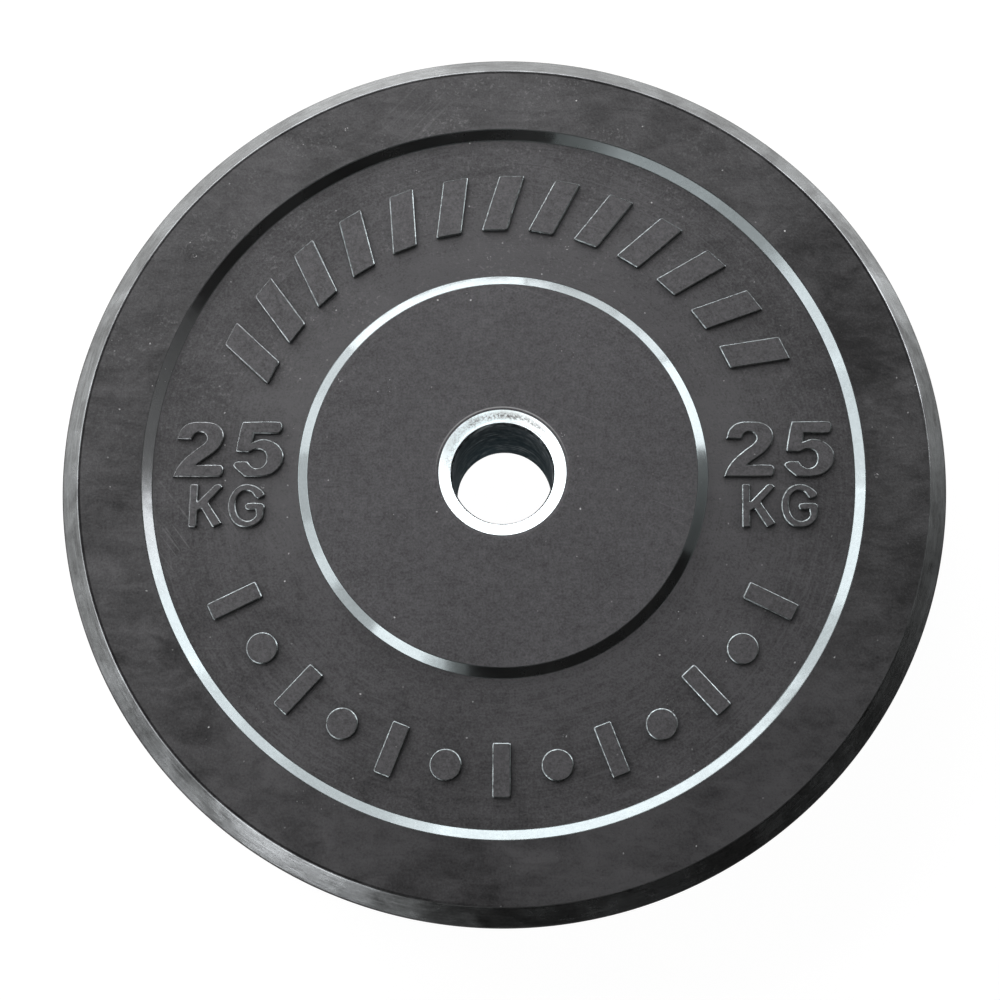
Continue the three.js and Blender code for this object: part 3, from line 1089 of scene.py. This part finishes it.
# Softboxes round the plate: from and to which direction, and from and to which angle above the face, in
# degrees, their radiance, and whether they show in glossy surfaces or light matte ones, with their colour
LAMP_DISTANCE = 1.5
IN_GLOSS, ON_MATTE = (0.985, 0.975, 1.0), (1.0, 1.0, 1.0)
LAMPS = [
    ("right", 18, 45, -2, 33, 8.9, IN_GLOSS),
    ("right_dim", 45, 54, -2, 31, 6.7, IN_GLOSS),
    ("right_gap", 54, 62, -2, 29, 5.6, IN_GLOSS),
    ("right_far_gap", 62, 79, -2, 27, 4.4, IN_GLOSS),
    ("top_edge", 79, 85, -3, 26, 6.4, IN_GLOSS),
    ("top", 85, 133, -3, 26, 8.9, IN_GLOSS),
    ("top_left_gap", 133, 146, -2, 30, 4.9, IN_GLOSS),
    ("left_low", 146, 163, -1, 18, 5.6, IN_GLOSS),
    ("left_high", 146, 163, 18, 35, 8.6, IN_GLOSS),
    ("left_low_dim", 163, 184, -1, 20, 2.9, IN_GLOSS),
    ("left_high_dim", 163, 184, 20, 38, 6.2, IN_GLOSS),
    ("lower_left_edge", 184, 194, -1, 22, 4.6, IN_GLOSS),
    ("lower_left_far", 194, 204, -1, 22, 6.0, IN_GLOSS),
    ("lower_left_above", 184, 204, 22, 42, 6.8, IN_GLOSS),
    ("lower_left_gap", 204, 224, -1, 27, 2.9, IN_GLOSS),
    ("lower_left_high_gap", 204, 224, 27, 44, 2.0, IN_GLOSS),
    ("lower_left_low", 224, 242, -2, 31, 8.4, IN_GLOSS),
    ("lower_left_end", 242, 250, -1, 31, 4.4, IN_GLOSS),
    ("lower_left_high", 224, 246, 31, 45, 2.3, IN_GLOSS),
    ("overhead", 95, 141, 42, 62, 2.6, IN_GLOSS),
    ("soft_key", 85, 165, 18, 52, 5.0, ON_MATTE),
    ("soft_low", 95, 155, 2, 18, 7.0, ON_MATTE),
]


def make_lamps():
    face_height = middle_height + half_thickness
    for name, first, last, low, high, radiance, tint in LAMPS:
        middle = math.radians((low + high) / 2)
        centre = Vector((LAMP_DISTANCE, 0, face_height + LAMP_DISTANCE * math.tan(middle)))
        data = bpy.data.lights.new(name, "AREA")
        data.shape = "RECTANGLE"
        data.size = 2 * LAMP_DISTANCE * math.tan(math.radians((last - first) / 2))
        data.size_y = 2 * centre.length * math.tan(math.radians((high - low) / 2))
        data.energy = radiance * math.pi * data.size * data.size_y
        data.color = tint
        lamp = placed(name, data)
        turn = Matrix.Rotation(math.radians((first + last) / 2), 3, "Z")
        lamp.location = turn @ centre
        away = turn @ (centre - Vector((0, 0, face_height)))
        lamp.rotation_euler = away.to_track_quat("Z", "Y").to_euler()
        lamp.visible_camera = False
        lamp.visible_diffuse = tint == ON_MATTE
        lamp.visible_glossy = tint == IN_GLOSS


FLAG_DISTANCE = 0.75
FLAG_HEIGHT = 1.15
FLAG_SWEEP = (257, 346)
FLAG_STEPS = 24


def make_flag():
    """Black curved card on the side away from the lamps, which keeps the walls facing it dark."""
    verts = []
    for i in range(FLAG_STEPS + 1):
        angle = math.radians(FLAG_SWEEP[0] + (FLAG_SWEEP[1] - FLAG_SWEEP[0]) * i / FLAG_STEPS)
        foot = Vector((FLAG_DISTANCE * math.cos(angle), FLAG_DISTANCE * math.sin(angle), 0))
        verts += [foot, foot + Vector((0, 0, FLAG_HEIGHT))]
    faces = [(2 * i, 2 * i + 2, 2 * i + 3, 2 * i + 1) for i in range(FLAG_STEPS)]
    mesh = listed_mesh("flag", verts, faces)
    n = Nodes(bpy.data.materials.new("flag"))
    diffuse = n.add("ShaderNodeBsdfDiffuse")
    n.feed(diffuse.inputs["Color"], FLAG_BLACK)
    n.finish("ShaderNodeOutputMaterial", diffuse)
    mesh.materials.append(n.owner)
    flag = placed("flag", mesh)
    flag.visible_camera = False
    flag.visible_shadow = False
    flag.visible_diffuse = False


make_camera()
make_floor()
make_world()
make_lamps()
make_flag()
rubber_disc([
    matte_rubber("rubber_boss", level=0.0475, grain=1.0, roughness=0.6, ior=1.38,
                 turning=0.15, clouds=0.4, dust=0.7, local=sleeve_surround),
    matte_rubber("rubber_face", level=0.027, grain=1.35, roughness=0.5, ior=1.45,
                 turning=0.9, clouds=0.8, local=recess_wear_and_painted_light),
    matte_rubber("rubber_rim", level=0.0168, grain=1.2, roughness=0.42, ior=1.52,
                 turning=0.25, clouds=1.3, local=rim_wear_and_painted_light),
    bevel_rubber("rubber_bevel", level=0.034, roughness=0.2, ior=1.8),
    tread_rubber("rubber_tread", level=0.022, roughness=0.36, ior=1.45),
    gloss_rubber("rubber_wall", level=0.03, roughness=0.13, ior=1.88, grain=0.02, uneven=0.11),
])
all_marks([
    matte_rubber("rubber_mark", level=0.041, grain=1.1, roughness=0.55, ior=1.45, clouds=0.3, dust=0.5),
    gloss_rubber("rubber_mark_edge", level=0.04, roughness=0.27, ior=1.75, grain=0.35, uneven=1.4),
])
hub_sleeve()
inner_steel()

bpy.context.scene.view_settings.view_transform = "Standard"
